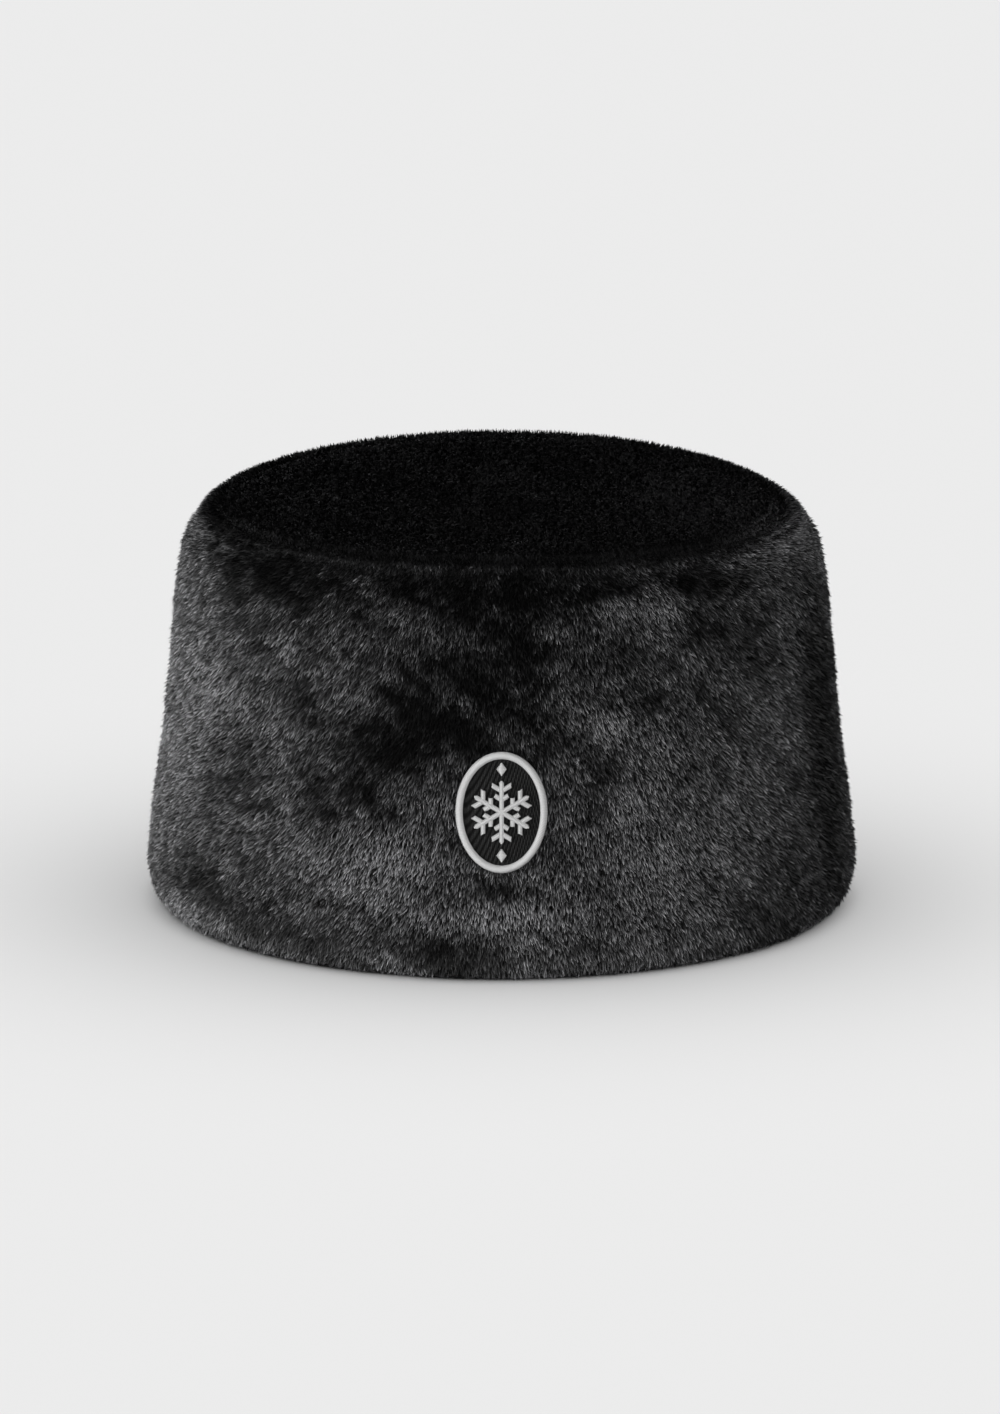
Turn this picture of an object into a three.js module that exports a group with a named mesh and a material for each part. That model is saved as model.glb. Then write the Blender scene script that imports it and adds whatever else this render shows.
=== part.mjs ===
// A black fur hat without a brim: a flared fur band sewn to an oval fur crown, with an embroidered badge.
// Millimetres, +Z up. The rim rests on z = 0, the front faces -Y, and the origin is the middle of the rim.
// The fur is deep, so each fur piece is a backing with rows of locks fused to it.
// Each row overlaps the next as tiles do, and the tips point down the band and outwards on the crown.

import * as THREE from "three";

const { clamp, degToRad, euclideanModulo, mapLinear, smoothstep } = THREE.MathUtils;

// Sections of the band's outer face over the tips of the fur, from the crown seam down to the rim
const BAND_SECTIONS = [
  { name: "seam", height: 119.2, halfWidth: 87.4 },
  { name: "seam lip", height: 121.4, halfWidth: 88.9 },
  { name: "shoulder", height: 111, halfWidth: 94.9 },
  { name: "upper wall", height: 98, halfWidth: 97.5 },
  { name: "waist", height: 74, halfWidth: 99.7 },
  { name: "flare", height: 50, halfWidth: 102.1 },
  { name: "lower wall", height: 28, halfWidth: 105.1 },
  { name: "rim", height: 14, halfWidth: 106.5 },
];
const RIM_ROLL = 6.5; // how far the fur draws in where it turns under at the rim
const RIM_FLAT = 5.5; // width of the face on which the hat rests
const HEAD = { rimHalfWidth: 88, topHalfWidth: 85, edge: 3 }; // the inner wall of the hollow
const OVAL = 8; // how much longer the half length is than the half width

const CROWN_TOP = 126.4; // height of the dome over the tips of the fur
const CROWN_SHOULDER = { halfWidth: 82, height: 125.4, drop: 0.8 }; // where the dome turns down to the seam
const CROWN_UNDERSIDE = 110;
const SEAM_GAP = 0.3;

// Facets round the hat, and the locks of the fur
const COLUMNS = 120;
const BAND_LOCKS = { columnsPerLock: [3, 3, 3, 3, 3, 3, 3, 3] };
const CROWN_LOCKS = { columnsPerLock: [12, 6, 3, 3] };
const LOCK_STAGES = [
  { name: "root", along: 0.04, depth: 1 },
  { name: "belly", along: 0.5, depth: 0.5 },
  { name: "tip", along: 1, depth: 0 },
];
const LOCK_RELIEF = 1.6; // height of a tip over the roots of the next row
const LOCK_HANG = 6; // how far the middle of a tip reaches past its sides
const LOCK_FADE = 5; // the relief fades out this near to the seam and to the rim's flat
const BETWEEN_LOCKS = 0.6; // share of the relief that is lost between two locks
const UNEVEN = { relief: 0.35, hang: 0.4 }; // shares by which locks differ

// Shallow dents where the pile is parted. Turn is from the front towards the right, in degrees
const DENTS = [
  { name: "over the badge", turn: -14, height: 78, reach: 16, depth: 1.6 },
  { name: "beside the badge", turn: 20, height: 62, reach: 11, depth: 1 },
  { name: "under the shoulder", turn: -4, height: 98, reach: 18, depth: 1.3 },
  { name: "low left", turn: -52, height: 26, reach: 13, depth: 1.2 },
  { name: "right side", turn: 78, height: 44, reach: 17, depth: 1.2 },
  { name: "back left", turn: -140, height: 60, reach: 18, depth: 1.4 },
  { name: "back right", turn: 150, height: 84, reach: 15, depth: 1.2 },
];

// The badge is an upright oval, and the fur is pressed down under it
const BADGE = { halfWidth: 13.4, halfHeight: 17.6, middle: 50.5, sink: 2.2, gap: 0.3 };
const BADGE_BED = { full: 1.42, free: 1.95 }; // ovals, in badge sizes, between which the fur rises again
const BADGE_STATIONS = 32; // points round the oval
const GROUND = { thickness: 0.9, rings: 4 };
const BORDER = { width: 2, height: 0.8 };
const SNOWFLAKE = { arms: 6, length: 9.2, thread: 0.65, height: 0.6 }; // thread is half the width of a line
const SNOWFLAKE_TWIGS = [
  { along: 0.4, length: 1.3 },
  { along: 0.68, length: 2.5 },
];
const DIAMOND = { halfWidth: 1.4, halfHeight: 1.9, height: 0.6, offCentre: 12.6 };

const furBlack = new THREE.MeshStandardMaterial({ color: 0x141415, roughness: 0.85, metalness: 0 });
const threadBlack = new THREE.MeshStandardMaterial({ color: 0x0c0c0d, roughness: 0.55, metalness: 0 });
const threadWhite = new THREE.MeshStandardMaterial({ color: 0xe4e4e1, roughness: 0.5, metalness: 0 });

const SEAM = BAND_SECTIONS[0];
const FRONT = -Math.PI / 2;
const OUTLINE_STEP = 1e-7; // share of an outline that is as good as none

// The same number from -1 to 1 for the same two whole numbers
function uneven(a, b) {
  const mixed = Math.sin(a * 12.9898 + b * 78.233) * 43758.5453;
  return 2 * (mixed - Math.floor(mixed)) - 1;
}

// A point of the hat at a half width, turned by an angle round the oval
function ovalPoint(halfWidth, angle, height) {
  const halfLength = halfWidth + OVAL * Math.min(1, halfWidth / SEAM.halfWidth);
  return new THREE.Vector3(halfWidth * Math.cos(angle), halfLength * Math.sin(angle), height);
}

const columnAngle = (column) => (2 * Math.PI * column) / COLUMNS;
const turnFromFront = (angle) => euclideanModulo(angle - FRONT + Math.PI, 2 * Math.PI) - Math.PI;

// The outer faces as curves of half width and height
function bandOutline() {
  const points = BAND_SECTIONS.map(({ halfWidth, height }) => new THREE.Vector2(halfWidth, height));
  const [seam, ...wall] = points;
  const rim = wall.at(-1);
  const outline = new THREE.Path();
  outline.moveTo(seam.x, seam.y);
  outline.splineThru(wall);
  outline.absellipse(rim.x - RIM_ROLL, rim.y, RIM_ROLL, rim.y, 0, -Math.PI / 2, true);
  return outline;
}

function crownOutline() {
  const edge = SEAM.halfWidth - SEAM_GAP;
  const { halfWidth, height, drop } = CROWN_SHOULDER;
  const outline = new THREE.Path();
  outline.moveTo(0, CROWN_TOP);
  outline.quadraticCurveTo(halfWidth / 2, CROWN_TOP, halfWidth, height);
  outline.quadraticCurveTo(edge, height - drop, edge, SEAM.height);
  return outline;
}

// The half width of the band's outer face at a height, found by halving the outline again and again
function bandHalfWidth(outline, height) {
  let above = 0;
  let below = 1;
  while (below - above > OUTLINE_STEP) {
    const share = (above + below) / 2;
    if (outline.getPointAt(share).y > height) above = share;
    else below = share;
  }
  return outline.getPointAt(below).x;
}

// How far the badge presses the fur down at a point, from 0 to 1
function pressedByBadge(halfWidth, turn, height) {
  if (Math.abs(turn) > Math.PI / 2) return 0;
  const across = (halfWidth * Math.sin(turn)) / BADGE.halfWidth;
  const up = (height - BADGE.middle) / BADGE.halfHeight;
  return 1 - smoothstep(Math.hypot(across, up), BADGE_BED.full, BADGE_BED.free);
}

function dentDepth(halfWidth, turn, height) {
  return DENTS.reduce((depth, dent) => {
    const across = turnFromFront(FRONT + turn - degToRad(dent.turn)) * halfWidth;
    const distance = Math.hypot(across, height - dent.height) / dent.reach;
    return depth + dent.depth * Math.exp(-distance * distance);
  }, 0);
}

// Where a column lies in a row of locks: lobe is 1 in the middle of a lock and -1 between two locks
function lockAt(locks, row, column) {
  const width = locks.columnsPerLock[row];
  const shifted = column + ((row % 2) * width) / 2;
  const index = Math.round(shifted / width);
  const across = Math.abs(shifted - index * width) / (width / 2);
  const own = index % (COLUMNS / width);
  return { lobe: Math.cos(Math.PI * across), relief: uneven(own, row), hang: uneven(row + 7, own) };
}

// How far a tip reaches past the edge of its row at a column
function tipHang(locks, row, column) {
  if (row < 0 || row === locks.columnsPerLock.length - 1) return 0;
  const { lobe, hang } = lockAt(locks, row, column);
  return (LOCK_HANG / 2) * (lobe + (UNEVEN.hang * hang * (1 + lobe)) / 2);
}

// One point of a fur face, in a row of locks and at a stage along them
function furPoint({ outline, length, locks, shaped }, row, stage, column) {
  const hangs = { root: tipHang(locks, row - 1, column), belly: 0, tip: tipHang(locks, row, column) };
  const share = clamp((row + stage.along) / locks.columnsPerLock.length + hangs[stage.name] / length, 0, 1);
  const at = outline.getPointAt(share);
  const outwards = outline.getTangentAt(share).rotateAround(new THREE.Vector2(), Math.PI / 2);
  const angle = columnAngle(column);
  const { pressed, dent } = shaped(at, turnFromFront(angle));
  const { lobe, relief } = lockAt(locks, row, column);
  const depth = Math.min(1, stage.depth + (BETWEEN_LOCKS * (1 - lobe)) / 2);
  const fade = Math.min(1, (Math.min(share, 1 - share) * length) / LOCK_FADE);
  const fur = (LOCK_RELIEF * (1 + UNEVEN.relief * relief) * depth + dent) * fade;
  const lowered = at.addScaledVector(outwards, -mapLinear(pressed, 0, 1, fur, BADGE.sink));
  return ovalPoint(lowered.x, angle, Math.max(0, lowered.y));
}

// The rings of a fur face along an outline, three to a row of locks
function furRings(outline, locks, shaped) {
  const face = { outline, length: outline.getLength(), locks, shaped };
  return locks.columnsPerLock.flatMap((_, row) =>
    LOCK_STAGES.map((stage) =>
      Array.from({ length: COLUMNS }, (__, column) => furPoint(face, row, stage, column)),
    ),
  );
}

const evenRing = (halfWidth, height) =>
  Array.from({ length: COLUMNS }, (_, column) => ovalPoint(halfWidth, columnAngle(column), height));

// One closed surface through rings of points. The last ring joins the first, or two poles close the ends
function ringSolid(rings, poles = []) {
  const columns = rings[0].length;
  const faces = [];
  const at = (ring, column) => (ring % rings.length) * columns + (column % columns);
  const spans = poles.length ? rings.length - 1 : rings.length;
  for (let ring = 0; ring < spans; ring++) {
    for (let column = 0; column < columns; column++) {
      const [a, b] = [at(ring, column), at(ring + 1, column)];
      const [c, d] = [at(ring + 1, column + 1), at(ring, column + 1)];
      faces.push(a, b, c, a, c, d);
    }
  }
  poles.forEach((_, end) => {
    const pole = rings.length * columns + end;
    const ring = end * (rings.length - 1);
    for (let column = 0; column < columns; column++) {
      const edge = [at(ring, column), at(ring, column + 1)];
      faces.push(pole, edge[end], edge[1 - end]);
    }
  });
  const geometry = new THREE.BufferGeometry().setFromPoints([...rings.flat(), ...poles]).setIndex(faces);
  geometry.computeVertexNormals();
  return geometry;
}

function furBand(outline) {
  const fur = furRings(outline, BAND_LOCKS, (at, turn) => ({
    pressed: pressedByBadge(at.x, turn, at.y),
    dent: dentDepth(at.x, turn, at.y),
  }));
  const shelf = CROWN_UNDERSIDE - SEAM_GAP;
  return ringSolid([
    evenRing(SEAM.halfWidth, SEAM.height),
    ...fur,
    evenRing(outline.getPointAt(1).x - RIM_FLAT, 0),
    evenRing(HEAD.rimHalfWidth, HEAD.edge),
    evenRing((HEAD.rimHalfWidth + HEAD.topHalfWidth) / 2, shelf / 2),
    evenRing(HEAD.topHalfWidth, shelf),
    evenRing(SEAM.halfWidth, shelf),
  ]);
}

function furCrown(outline) {
  const [, ...fur] = furRings(outline, CROWN_LOCKS, () => ({ pressed: 0, dent: 0 }));
  const edge = SEAM.halfWidth - SEAM_GAP;
  return ringSolid(
    [...fur, evenRing(edge, CROWN_UNDERSIDE), evenRing(edge / 2, CROWN_UNDERSIDE)],
    [new THREE.Vector3(0, 0, CROWN_TOP), new THREE.Vector3(0, 0, CROWN_UNDERSIDE)],
  );
}

// A point of the badge laid round the band: across and up from its middle, and out from its back
function onBand(outline, across, up, out) {
  const height = BADGE.middle + up;
  const halfWidth = bandHalfWidth(outline, height) - BADGE.sink + BADGE.gap + out;
  return ovalPoint(halfWidth, FRONT + Math.asin(across / halfWidth), height);
}

// A ring of the badge's oval, drawn in by an inset
function badgeRing(outline, inset, out) {
  return Array.from({ length: BADGE_STATIONS }, (_, station) => {
    const angle = (2 * Math.PI * station) / BADGE_STATIONS;
    const across = (BADGE.halfWidth - inset) * Math.cos(angle);
    const up = (BADGE.halfHeight - inset) * Math.sin(angle);
    return onBand(outline, across, up, out);
  });
}

function badgeGround(outline) {
  const insets = Array.from({ length: GROUND.rings }, (_, ring) => (BADGE.halfWidth * ring) / GROUND.rings);
  return ringSolid(
    [
      ...insets.toReversed().map((inset) => badgeRing(outline, inset, GROUND.thickness)),
      ...insets.map((inset) => badgeRing(outline, inset, 0)),
    ],
    [onBand(outline, 0, 0, GROUND.thickness), onBand(outline, 0, 0, 0)],
  );
}

// The border is a padded satin stitch, so its section is a low arch
function badgeBorder(outline) {
  const floor = GROUND.thickness + BADGE.gap;
  const arch = [
    { inset: 1, rise: 0 },
    { inset: 1, rise: 0.5 },
    { inset: 0.7, rise: 1 },
    { inset: 0.3, rise: 1 },
    { inset: 0, rise: 0.5 },
    { inset: 0, rise: 0 },
  ];
  return ringSolid(
    arch.map(({ inset, rise }) => badgeRing(outline, inset * BORDER.width, floor + rise * BORDER.height)),
  );
}

// One side of a snowflake's arm from the middle to the tip, as lengths along the arm and out from it
function armSide() {
  const { arms, length, thread } = SNOWFLAKE;
  const lean = { along: Math.cos(Math.PI / 3), out: Math.sin(Math.PI / 3) };
  const twigs = SNOWFLAKE_TWIGS.flatMap((twig) => {
    const root = twig.along * length + (thread * lean.along) / lean.out;
    const edges = [root - thread / lean.out, root + thread / lean.out];
    const reach = [twig.length * lean.along, thread + twig.length * lean.out];
    return [
      [edges[0], thread],
      [edges[0] + reach[0], reach[1]],
      [edges[1] + reach[0], reach[1]],
      [edges[1], thread],
    ];
  });
  return [[thread / Math.tan(Math.PI / arms), thread], ...twigs, [length - thread, thread], [length, 0]];
}

function snowflakeShape() {
  const side = armSide();
  const arm = [...side.map(([along, out]) => [along, -out]), ...side.slice(1, -1).toReversed()];
  const points = Array.from({ length: SNOWFLAKE.arms }, (_, index) => {
    const turn = Math.PI / 2 + (2 * Math.PI * index) / SNOWFLAKE.arms;
    return arm.map(([along, out]) => new THREE.Vector2(along, out).rotateAround(new THREE.Vector2(), turn));
  });
  return new THREE.Shape(points.flat());
}

function diamondShape(up) {
  const { halfWidth, halfHeight } = DIAMOND;
  const corners = [
    [0, up - halfHeight],
    [halfWidth, up],
    [0, up + halfHeight],
    [-halfWidth, up],
  ];
  return new THREE.Shape(corners.map(([x, y]) => new THREE.Vector2(x, y)));
}

// A flat shape stitched on the badge's ground, laid round the band
function stitchedOn(outline, shape, height) {
  const geometry = new THREE.ExtrudeGeometry(shape, { depth: height, bevelEnabled: false });
  const points = geometry.getAttribute("position");
  for (let i = 0; i < points.count; i++) {
    const out = GROUND.thickness + BADGE.gap + points.getZ(i);
    const place = onBand(outline, points.getX(i), points.getY(i), out);
    points.setXYZ(i, place.x, place.y, place.z);
  }
  geometry.computeVertexNormals();
  return geometry;
}

function named(name, geometry, material) {
  const mesh = new THREE.Mesh(geometry, material);
  mesh.name = name;
  return mesh;
}

function badge(outline) {
  const group = new THREE.Group();
  group.add(named("badge_ground", badgeGround(outline), threadBlack));
  group.add(named("badge_border", badgeBorder(outline), threadWhite));
  group.add(named("badge_snowflake", stitchedOn(outline, snowflakeShape(), SNOWFLAKE.height), threadWhite));
  Object.entries({ top: DIAMOND.offCentre, bottom: -DIAMOND.offCentre }).forEach(([end, up]) => {
    const diamond = stitchedOn(outline, diamondShape(up), DIAMOND.height);
    group.add(named(`badge_diamond_${end}`, diamond, threadWhite));
  });
  return group;
}

const bandFace = bandOutline();
const hat = new THREE.Group();
hat.add(named("fur_band", furBand(bandFace), furBlack));
hat.add(named("fur_crown", furCrown(crownOutline()), furBlack));
hat.add(badge(bandFace));

export default hat;
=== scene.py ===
import math

import bpy
import numpy as np
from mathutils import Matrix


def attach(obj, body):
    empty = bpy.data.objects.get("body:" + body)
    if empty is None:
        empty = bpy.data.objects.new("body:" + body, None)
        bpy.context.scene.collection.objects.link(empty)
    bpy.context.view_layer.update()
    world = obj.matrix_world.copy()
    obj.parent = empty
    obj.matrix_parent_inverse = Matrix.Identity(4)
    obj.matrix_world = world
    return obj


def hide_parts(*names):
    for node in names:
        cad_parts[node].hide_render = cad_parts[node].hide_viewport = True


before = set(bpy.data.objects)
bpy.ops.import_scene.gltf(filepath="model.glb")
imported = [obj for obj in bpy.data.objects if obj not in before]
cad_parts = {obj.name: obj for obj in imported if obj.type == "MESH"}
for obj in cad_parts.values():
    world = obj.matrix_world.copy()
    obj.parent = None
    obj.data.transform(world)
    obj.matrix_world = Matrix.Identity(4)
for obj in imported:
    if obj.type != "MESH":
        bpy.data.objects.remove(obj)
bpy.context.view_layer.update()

MM = 0.001
FRONT = -math.pi / 2
SEED = 11
FAR_AWAY = 99


def table(columns, *rows):
    """Rows with named columns."""
    return [dict(zip(columns.split(), row)) for row in rows]


# The face over the tips of the fur, from the crown seam down to the rim
BAND_SECTIONS = table(
    "name height half_width",
    ("seam", 119.2, 87.4),
    ("seam_lip", 121.4, 88.9),
    ("shoulder", 111.0, 94.9),
    ("upper_wall", 98.0, 97.5),
    ("waist", 74.0, 99.7),
    ("flare", 50.0, 102.1),
    ("lower_wall", 28.0, 105.1),
    ("rim", 14.0, 106.5),
)
# How far the fur rolls in at the rim, and how far it goes on flat under it
RIM_ROLL = 6.5
RIM_FLAT = 5.5
# Half the width of the hollow for the head, at the rim and under the crown
HEAD = {"rim": 88.0, "top": 85.0}
# Where crown and band meet. The coat bridges the seam up to the covered height, and changes over a length
SEAM = {"half_width": 87.4, "height": 119.2, "gap": 0.3, "covered": 4.2, "change": 8.0}
# How much further the front is from the middle than the side is
OVAL = 8.0
CROWN_TOP = 126.4
CROWN_SHOULDER = {"half_width": 82.0, "height": 125.4, "drop": 0.8}
CROWN_UNDERSIDE = 110.0

# The backing: points round a ring, rings over the outside of each part, the half width of the crown's two
# caps, and the angle over which an edge stays sharp
BACKING = {"points_round": 96, "band_rings": 56, "crown_rings": 40, "cap": 2.0, "sharp": 50}
# The backing's edge under the rim. Beyond is outwards from the hollow for the head
RIM_EDGE = table(
    "name beyond height",
    ("under_the_rim", 4.5, 1.2),
    ("turn", 1.2, 1.6),
    ("inside", 0.0, 4.0),
)
# How far in from the edge the crown's underside has its next ring, and how little lower that lies
CROWN_HEM = {"width": 3.0, "drop": 0.01}
# Points along each stretch of an outline
OUTLINE_STEPS = 24

# The badge, an upright oval laid round the band, sunk a little into the pile
BADGE = {"half_width": 13.4, "half_height": 17.6, "middle": 50.5, "sink": 2.2, "gap": 0.3}
# The fur round the badge: how far it may grow over the upper edge, how deep it is pressed in beside the
# badge, and over what share of the badge's size that fades out
BESIDE_BADGE = {"over": 2.6, "pressed": 1.6, "fade": 0.6}

# A stitch is a short thread, drawn in at its ends. Pitch is from one to the next, and width a share of it
STITCH = {"sides": 5, "cuts": 2, "end": 0.55, "pitch": 0.42, "width": 1.02}
# Below, ends and middle are how high a stitch lies there: over the back of the badge's ground in GROUND, and
# over its front in the others. The rows of the ground's long stitches are shifted as bricks are
GROUND = {"thickness": 0.9, "ends": 0.8, "middle": 0.98}
GROUND_ROWS = {"margin": 1.0, "first": 0.3, "long": 3.2, "overlap": 0.15, "shortest": 0.5, "shifts": 3}
# The border's stitches are slanted, by an angle in radians round the badge
BORDER = {"width": 2.0, "inwards": 0.05, "outwards": 0.1, "slant": 0.03, "ends": 0.25, "middle": 0.88}
SNOWFLAKE = {"arms": 6, "length": 9.2, "thread": 0.65, "tip": 0.15, "ends": 0.2, "middle": 0.66}
SNOWFLAKE_TWIGS = table("along length", (0.4, 1.5), (0.68, 2.7))
DIAMOND = {
    "half_width": 1.4,
    "half_height": 1.9,
    "off_centre": 12.6,
    "past_edge": 0.1,
    "ends": 0.2,
    "middle": 0.66,
}

# The pile. Lean is the angle between a hair and the straight way out of the backing. Towards the seam and
# the rim the pile fades to its least share
PILE = {"depth": 2.8, "length": 4.0, "lean": 58.0, "curl": 10.0, "fade": 9.0, "least": 0.7, "crown_lean": 8.0}
SPACING = {"band": 0.48, "crown": 0.6}
# A hair is widest at a share of its length. Its lean, slant, twist and tone vary by the amounts given
HAIR = {"width": 0.39, "widest": 0.62, "lean": 9.0, "slant": 12.0, "twist": 50.0, "tone": 0.65}
# The least and the most of what is added to a hair's place, in spacings, and to its length, as a share, and
# of what its width is multiplied by
VARIES = {"place": (-0.45, 0.45), "length": (-0.2, 0.15), "width": (0.7, 1.3)}
# The share of the band's unevenness that the crown has, from hair to hair and in its bumps
CROWN_CALM = {"hairs": 0.25, "bumps": 0.15}
# How far the band's hair turns from straight down, at both sides of the hat
FANNING = 38.0
# The fur's tone, lower on the crown as painted shade on the top, the share of a patch's tone that is added to
# it, which is painted light and painted shade, and its limits
TONE = {"band": 0.41, "crown": 0.2, "patch": 0.4, "least": 0.01, "most": 0.99}
# The lowest that a hair may reach over the floor
FLOOR_GAP = 0.15

# Soft bumps all over the coat, of sizes between a smallest and a largest, and what each adds at its height
BUMPS = table(
    "name sizes waves lean slant tone",
    ("soft", (18, 60), 14, 3, 0, 0.05),
    ("fine", (6, 16), 18, 2.5, 0, 0.09),
    ("clumps", (2, 5), 24, 4, 0, 0.1),
    ("sway", (22, 70), 10, 0, 6, 0),
    ("comb", (3, 9), 24, 0, 7, 0),
)

# How far the soft top sinks below its sewn shape, and how far down the wall that fades out. The underside
# of the crown, up to a margin, stays level
SAG = {"back": 0.8, "left": 1.8, "right": 3.0, "fade": 9.0, "margin": 1.0}

# Soft patches where the pile lies flatter, and others where it stands up more. Each patch's tone is painted
# into the hair's colour, as painted light above 0 and painted shade below.
# Turn is from the front towards the right. Across and up are how far a patch reaches before it fades, and
# tone is lighter above 0 and darker below. A height over the seam counts on along the crown, and each patch
# ends at the seam. They were set until the render was as bright as the photo, which was measured at
# a few hundred places
PATCHES = table(
    "name turn height across up tone lean",
    # Painted shade, with the pile standing up more, on the front
    ("front, high", 1, 98, 15, 16, -0.9, -12),
    ("left under the front", -3, 92, 6, 7, -0.35, -3),
    ("over the badge", -7, 76, 20, 13, -0.8, -10),
    ("right over the badge", 9, 71, 11, 6, -0.45, -4),
    ("left of the centre", -18, 72, 15, 11, -0.8, -10),
    ("left of the front", -13, 94, 11, 9, -0.55, -5),
    ("left of the badge", -27, 54, 13, 12, -0.65, -8),
    ("right of the badge", 16, 60, 8, 8, -0.55, -4),
    ("left shoulder", -43, 116.5, 42, 10, -1.0, -8),
    ("left shoulder, lower", -54, 109, 8, 9, -0.55, -4),
    ("front shoulder", 2, 117, 34, 8, -0.85, -8),
    ("right shoulder", 37, 115, 26, 6.5, -0.95, -8),
    ("left, upper", -28, 98, 22, 12, -0.3, -4),
    ("left, upper, far", -47, 97, 10, 9, -0.35, -4),
    ("left, small", -40, 81, 7, 5, -0.35, -4),
    ("left, small, low", -32, 77, 9, 10, -0.25, -3),
    ("left, small, high", -34, 86, 7, 7, -0.25, -3),
    ("right of the front", 20, 95, 12, 8, -0.4, -5),
    ("right, middle", 28, 83, 8, 6, -0.5, -4),
    ("right, upper", 45, 100, 17, 9, -0.5, -5),
    ("right, upper, small", 36, 101, 6, 8, -0.75, -4),
    ("right, wide", 46, 84, 24, 20, -0.25, -4),
    # The right side: painted shade at the right edge, where less light falls, and painted light further round
    # it
    ("right edge", 71, 42, 20, 50, -0.95, -4),
    ("right edge, upper", 75, 84, 20, 30, -0.6, -4),
    ("right edge, behind", 90, 66, 12, 24, -0.25, -4),
    ("right side, high", 108, 86, 18, 20, 0.7, 4),
    ("right side, low", 118, 42, 26, 26, 0.7, 4),
    ("right side, rim", 100, 16, 16, 10, 0.5, 3),
    # Painted shade, with the pile standing up more, on the left and low down
    ("low left", -58, 21, 20, 9, -1.0, -8),
    ("low left, inner", -45, 14, 13, 8, -0.75, -5),
    ("left, middle", -56, 48, 16, 14, -0.3, -4),
    ("rim, left", -30, 10, 19, 6, -0.65, -6),
    ("rim, near the middle", -7, 10, 14, 7, -1.1, -8),
    ("rim, right", 50, 14, 20, 16, -0.6, -4),
    # A painted shadow under the badge's lower edge, where the pile is also pressed
    ("under the badge", 0, 29.5, 11, 2.5, -0.9, -6),
    # Painted light, with the pile mostly lying flatter
    ("right glow, high", 29, 110.5, 11, 5, 1.1, 5),
    ("right spot, high", 21, 111, 6, 4, 1.3, 5),
    ("right glow", 19, 75, 8, 6, 0.8, 5),
    ("right glow, low", 27, 68, 8, 6, 0.4, 3),
    ("right of the badge, glow", 22, 53, 6, 6, 0.85, 3),
    ("right, low light", 40, 45, 11, 9, 0.3, 3),
    ("left glow", -58, 79, 16, 15, 0.4, 3),
    ("left spot", -40, 95, 6, 5, 0.6, 3),
    ("left light", -17, 101, 7, 5, 0.3, 3),
    ("low glow", -22, 34, 16, 9, 0.85, 5),
    ("low glow, middle", -15, 39, 9, 8, 0.6, 3),
    ("low left light", -46, 42, 7, 5, 0.25, 3),
    ("left edge", -64, 50, 14, 30, 0.35, 0),
    ("rim, far left", -63, 8, 9, 6, 0.5, 0),
    ("low glow, right", 27, 33, 20, 16, 0.65, 4),
    ("front, low", 1, 21.5, 14, 4, 1.0, 3),
    ("front, low, left", -11, 22, 8, 5, 0.35, 3),
    # Seam and crown, with no change of lean: painted light at the seam on the right and on the crown, and
    # painted shade along the crown's edge
    ("seam, right", 72, 124, 24, 7, 0.9, 0),
    ("lip, right", 66, 119.5, 28, 4, 0.6, 0),
    ("crown edge", -20, 126, 80, 4.6, -0.42, 0),
    ("seam, right of the front", 36, 120.5, 24, 3, 0.3, 0),
    ("crown, right", 85, 150, 50, 28, 0.22, 0),
    ("crown, back", 180, 134, 70, 12, 0.12, 0),
    ("crown fold, left", -130, 138, 36, 6, 0.15, 0),
    ("crown fold, right", 75, 142, 34, 5, 0.15, 0),
    # Behind: painted shade with the pile standing up more, and painted light low down
    ("back left", -150, 60, 30, 24, -0.5, -9),
    ("back right", 135, 84, 24, 20, -0.45, -8),
    ("back shoulder", 178, 114, 70, 9, -0.6, -8),
    ("back, low", 172, 30, 30, 14, 0.3, 5),
)


# The outlines that the hat is turned from


def half_length(half_width):
    return half_width + OVAL * np.minimum(1, half_width / SEAM["half_width"])


def spline(points, steps):
    """Points of the smooth line through given points."""
    ends = np.vstack([points[:1], points, points[-1:]])
    line = []
    for i in range(len(points) - 1):
        before, start, end, after = ends[i : i + 4]
        t = np.linspace(0, 1, steps, endpoint=False)[:, None]
        enter, leave = (end - before) / 2, (after - start) / 2
        line.append(
            (2 * start - 2 * end + enter + leave) * t**3
            + (3 * end - 3 * start - 2 * enter - leave) * t**2
            + enter * t
            + start
        )
    return np.vstack([*line, points[-1:]])


def bow(start, control, end, steps=40):
    """Points of a curve with one control point."""
    t = np.linspace(0, 1, steps)[:, None]
    start, control, end = (np.array(p, float) for p in (start, control, end))
    return (1 - t) ** 2 * start + 2 * t * (1 - t) * control + t**2 * end


class Outline:
    """A line of half width and height round which a face is turned, read by the length along it."""

    same_place = 1e-6

    def __init__(self, points):
        steps = np.linalg.norm(np.diff(points, axis=0), axis=1)
        keep = np.concatenate([[True], steps > self.same_place])
        self.points = points[keep]
        steps = np.linalg.norm(np.diff(self.points, axis=0), axis=1)
        self.at = np.concatenate([[0], np.cumsum(steps)])
        self.length = self.at[-1]

    def point(self, along):
        return np.stack([np.interp(along, self.at, self.points[:, i]) for i in (0, 1)], -1)

    def tangent(self, along, reach=0.8):
        way = self.point(np.minimum(along + reach, self.length)) - self.point(np.maximum(along - reach, 0))
        return way / np.linalg.norm(way, axis=-1, keepdims=True)

    def outwards(self, along):
        way = self.tangent(along)
        return np.stack([-way[..., 1], way[..., 0]], -1)


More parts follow.
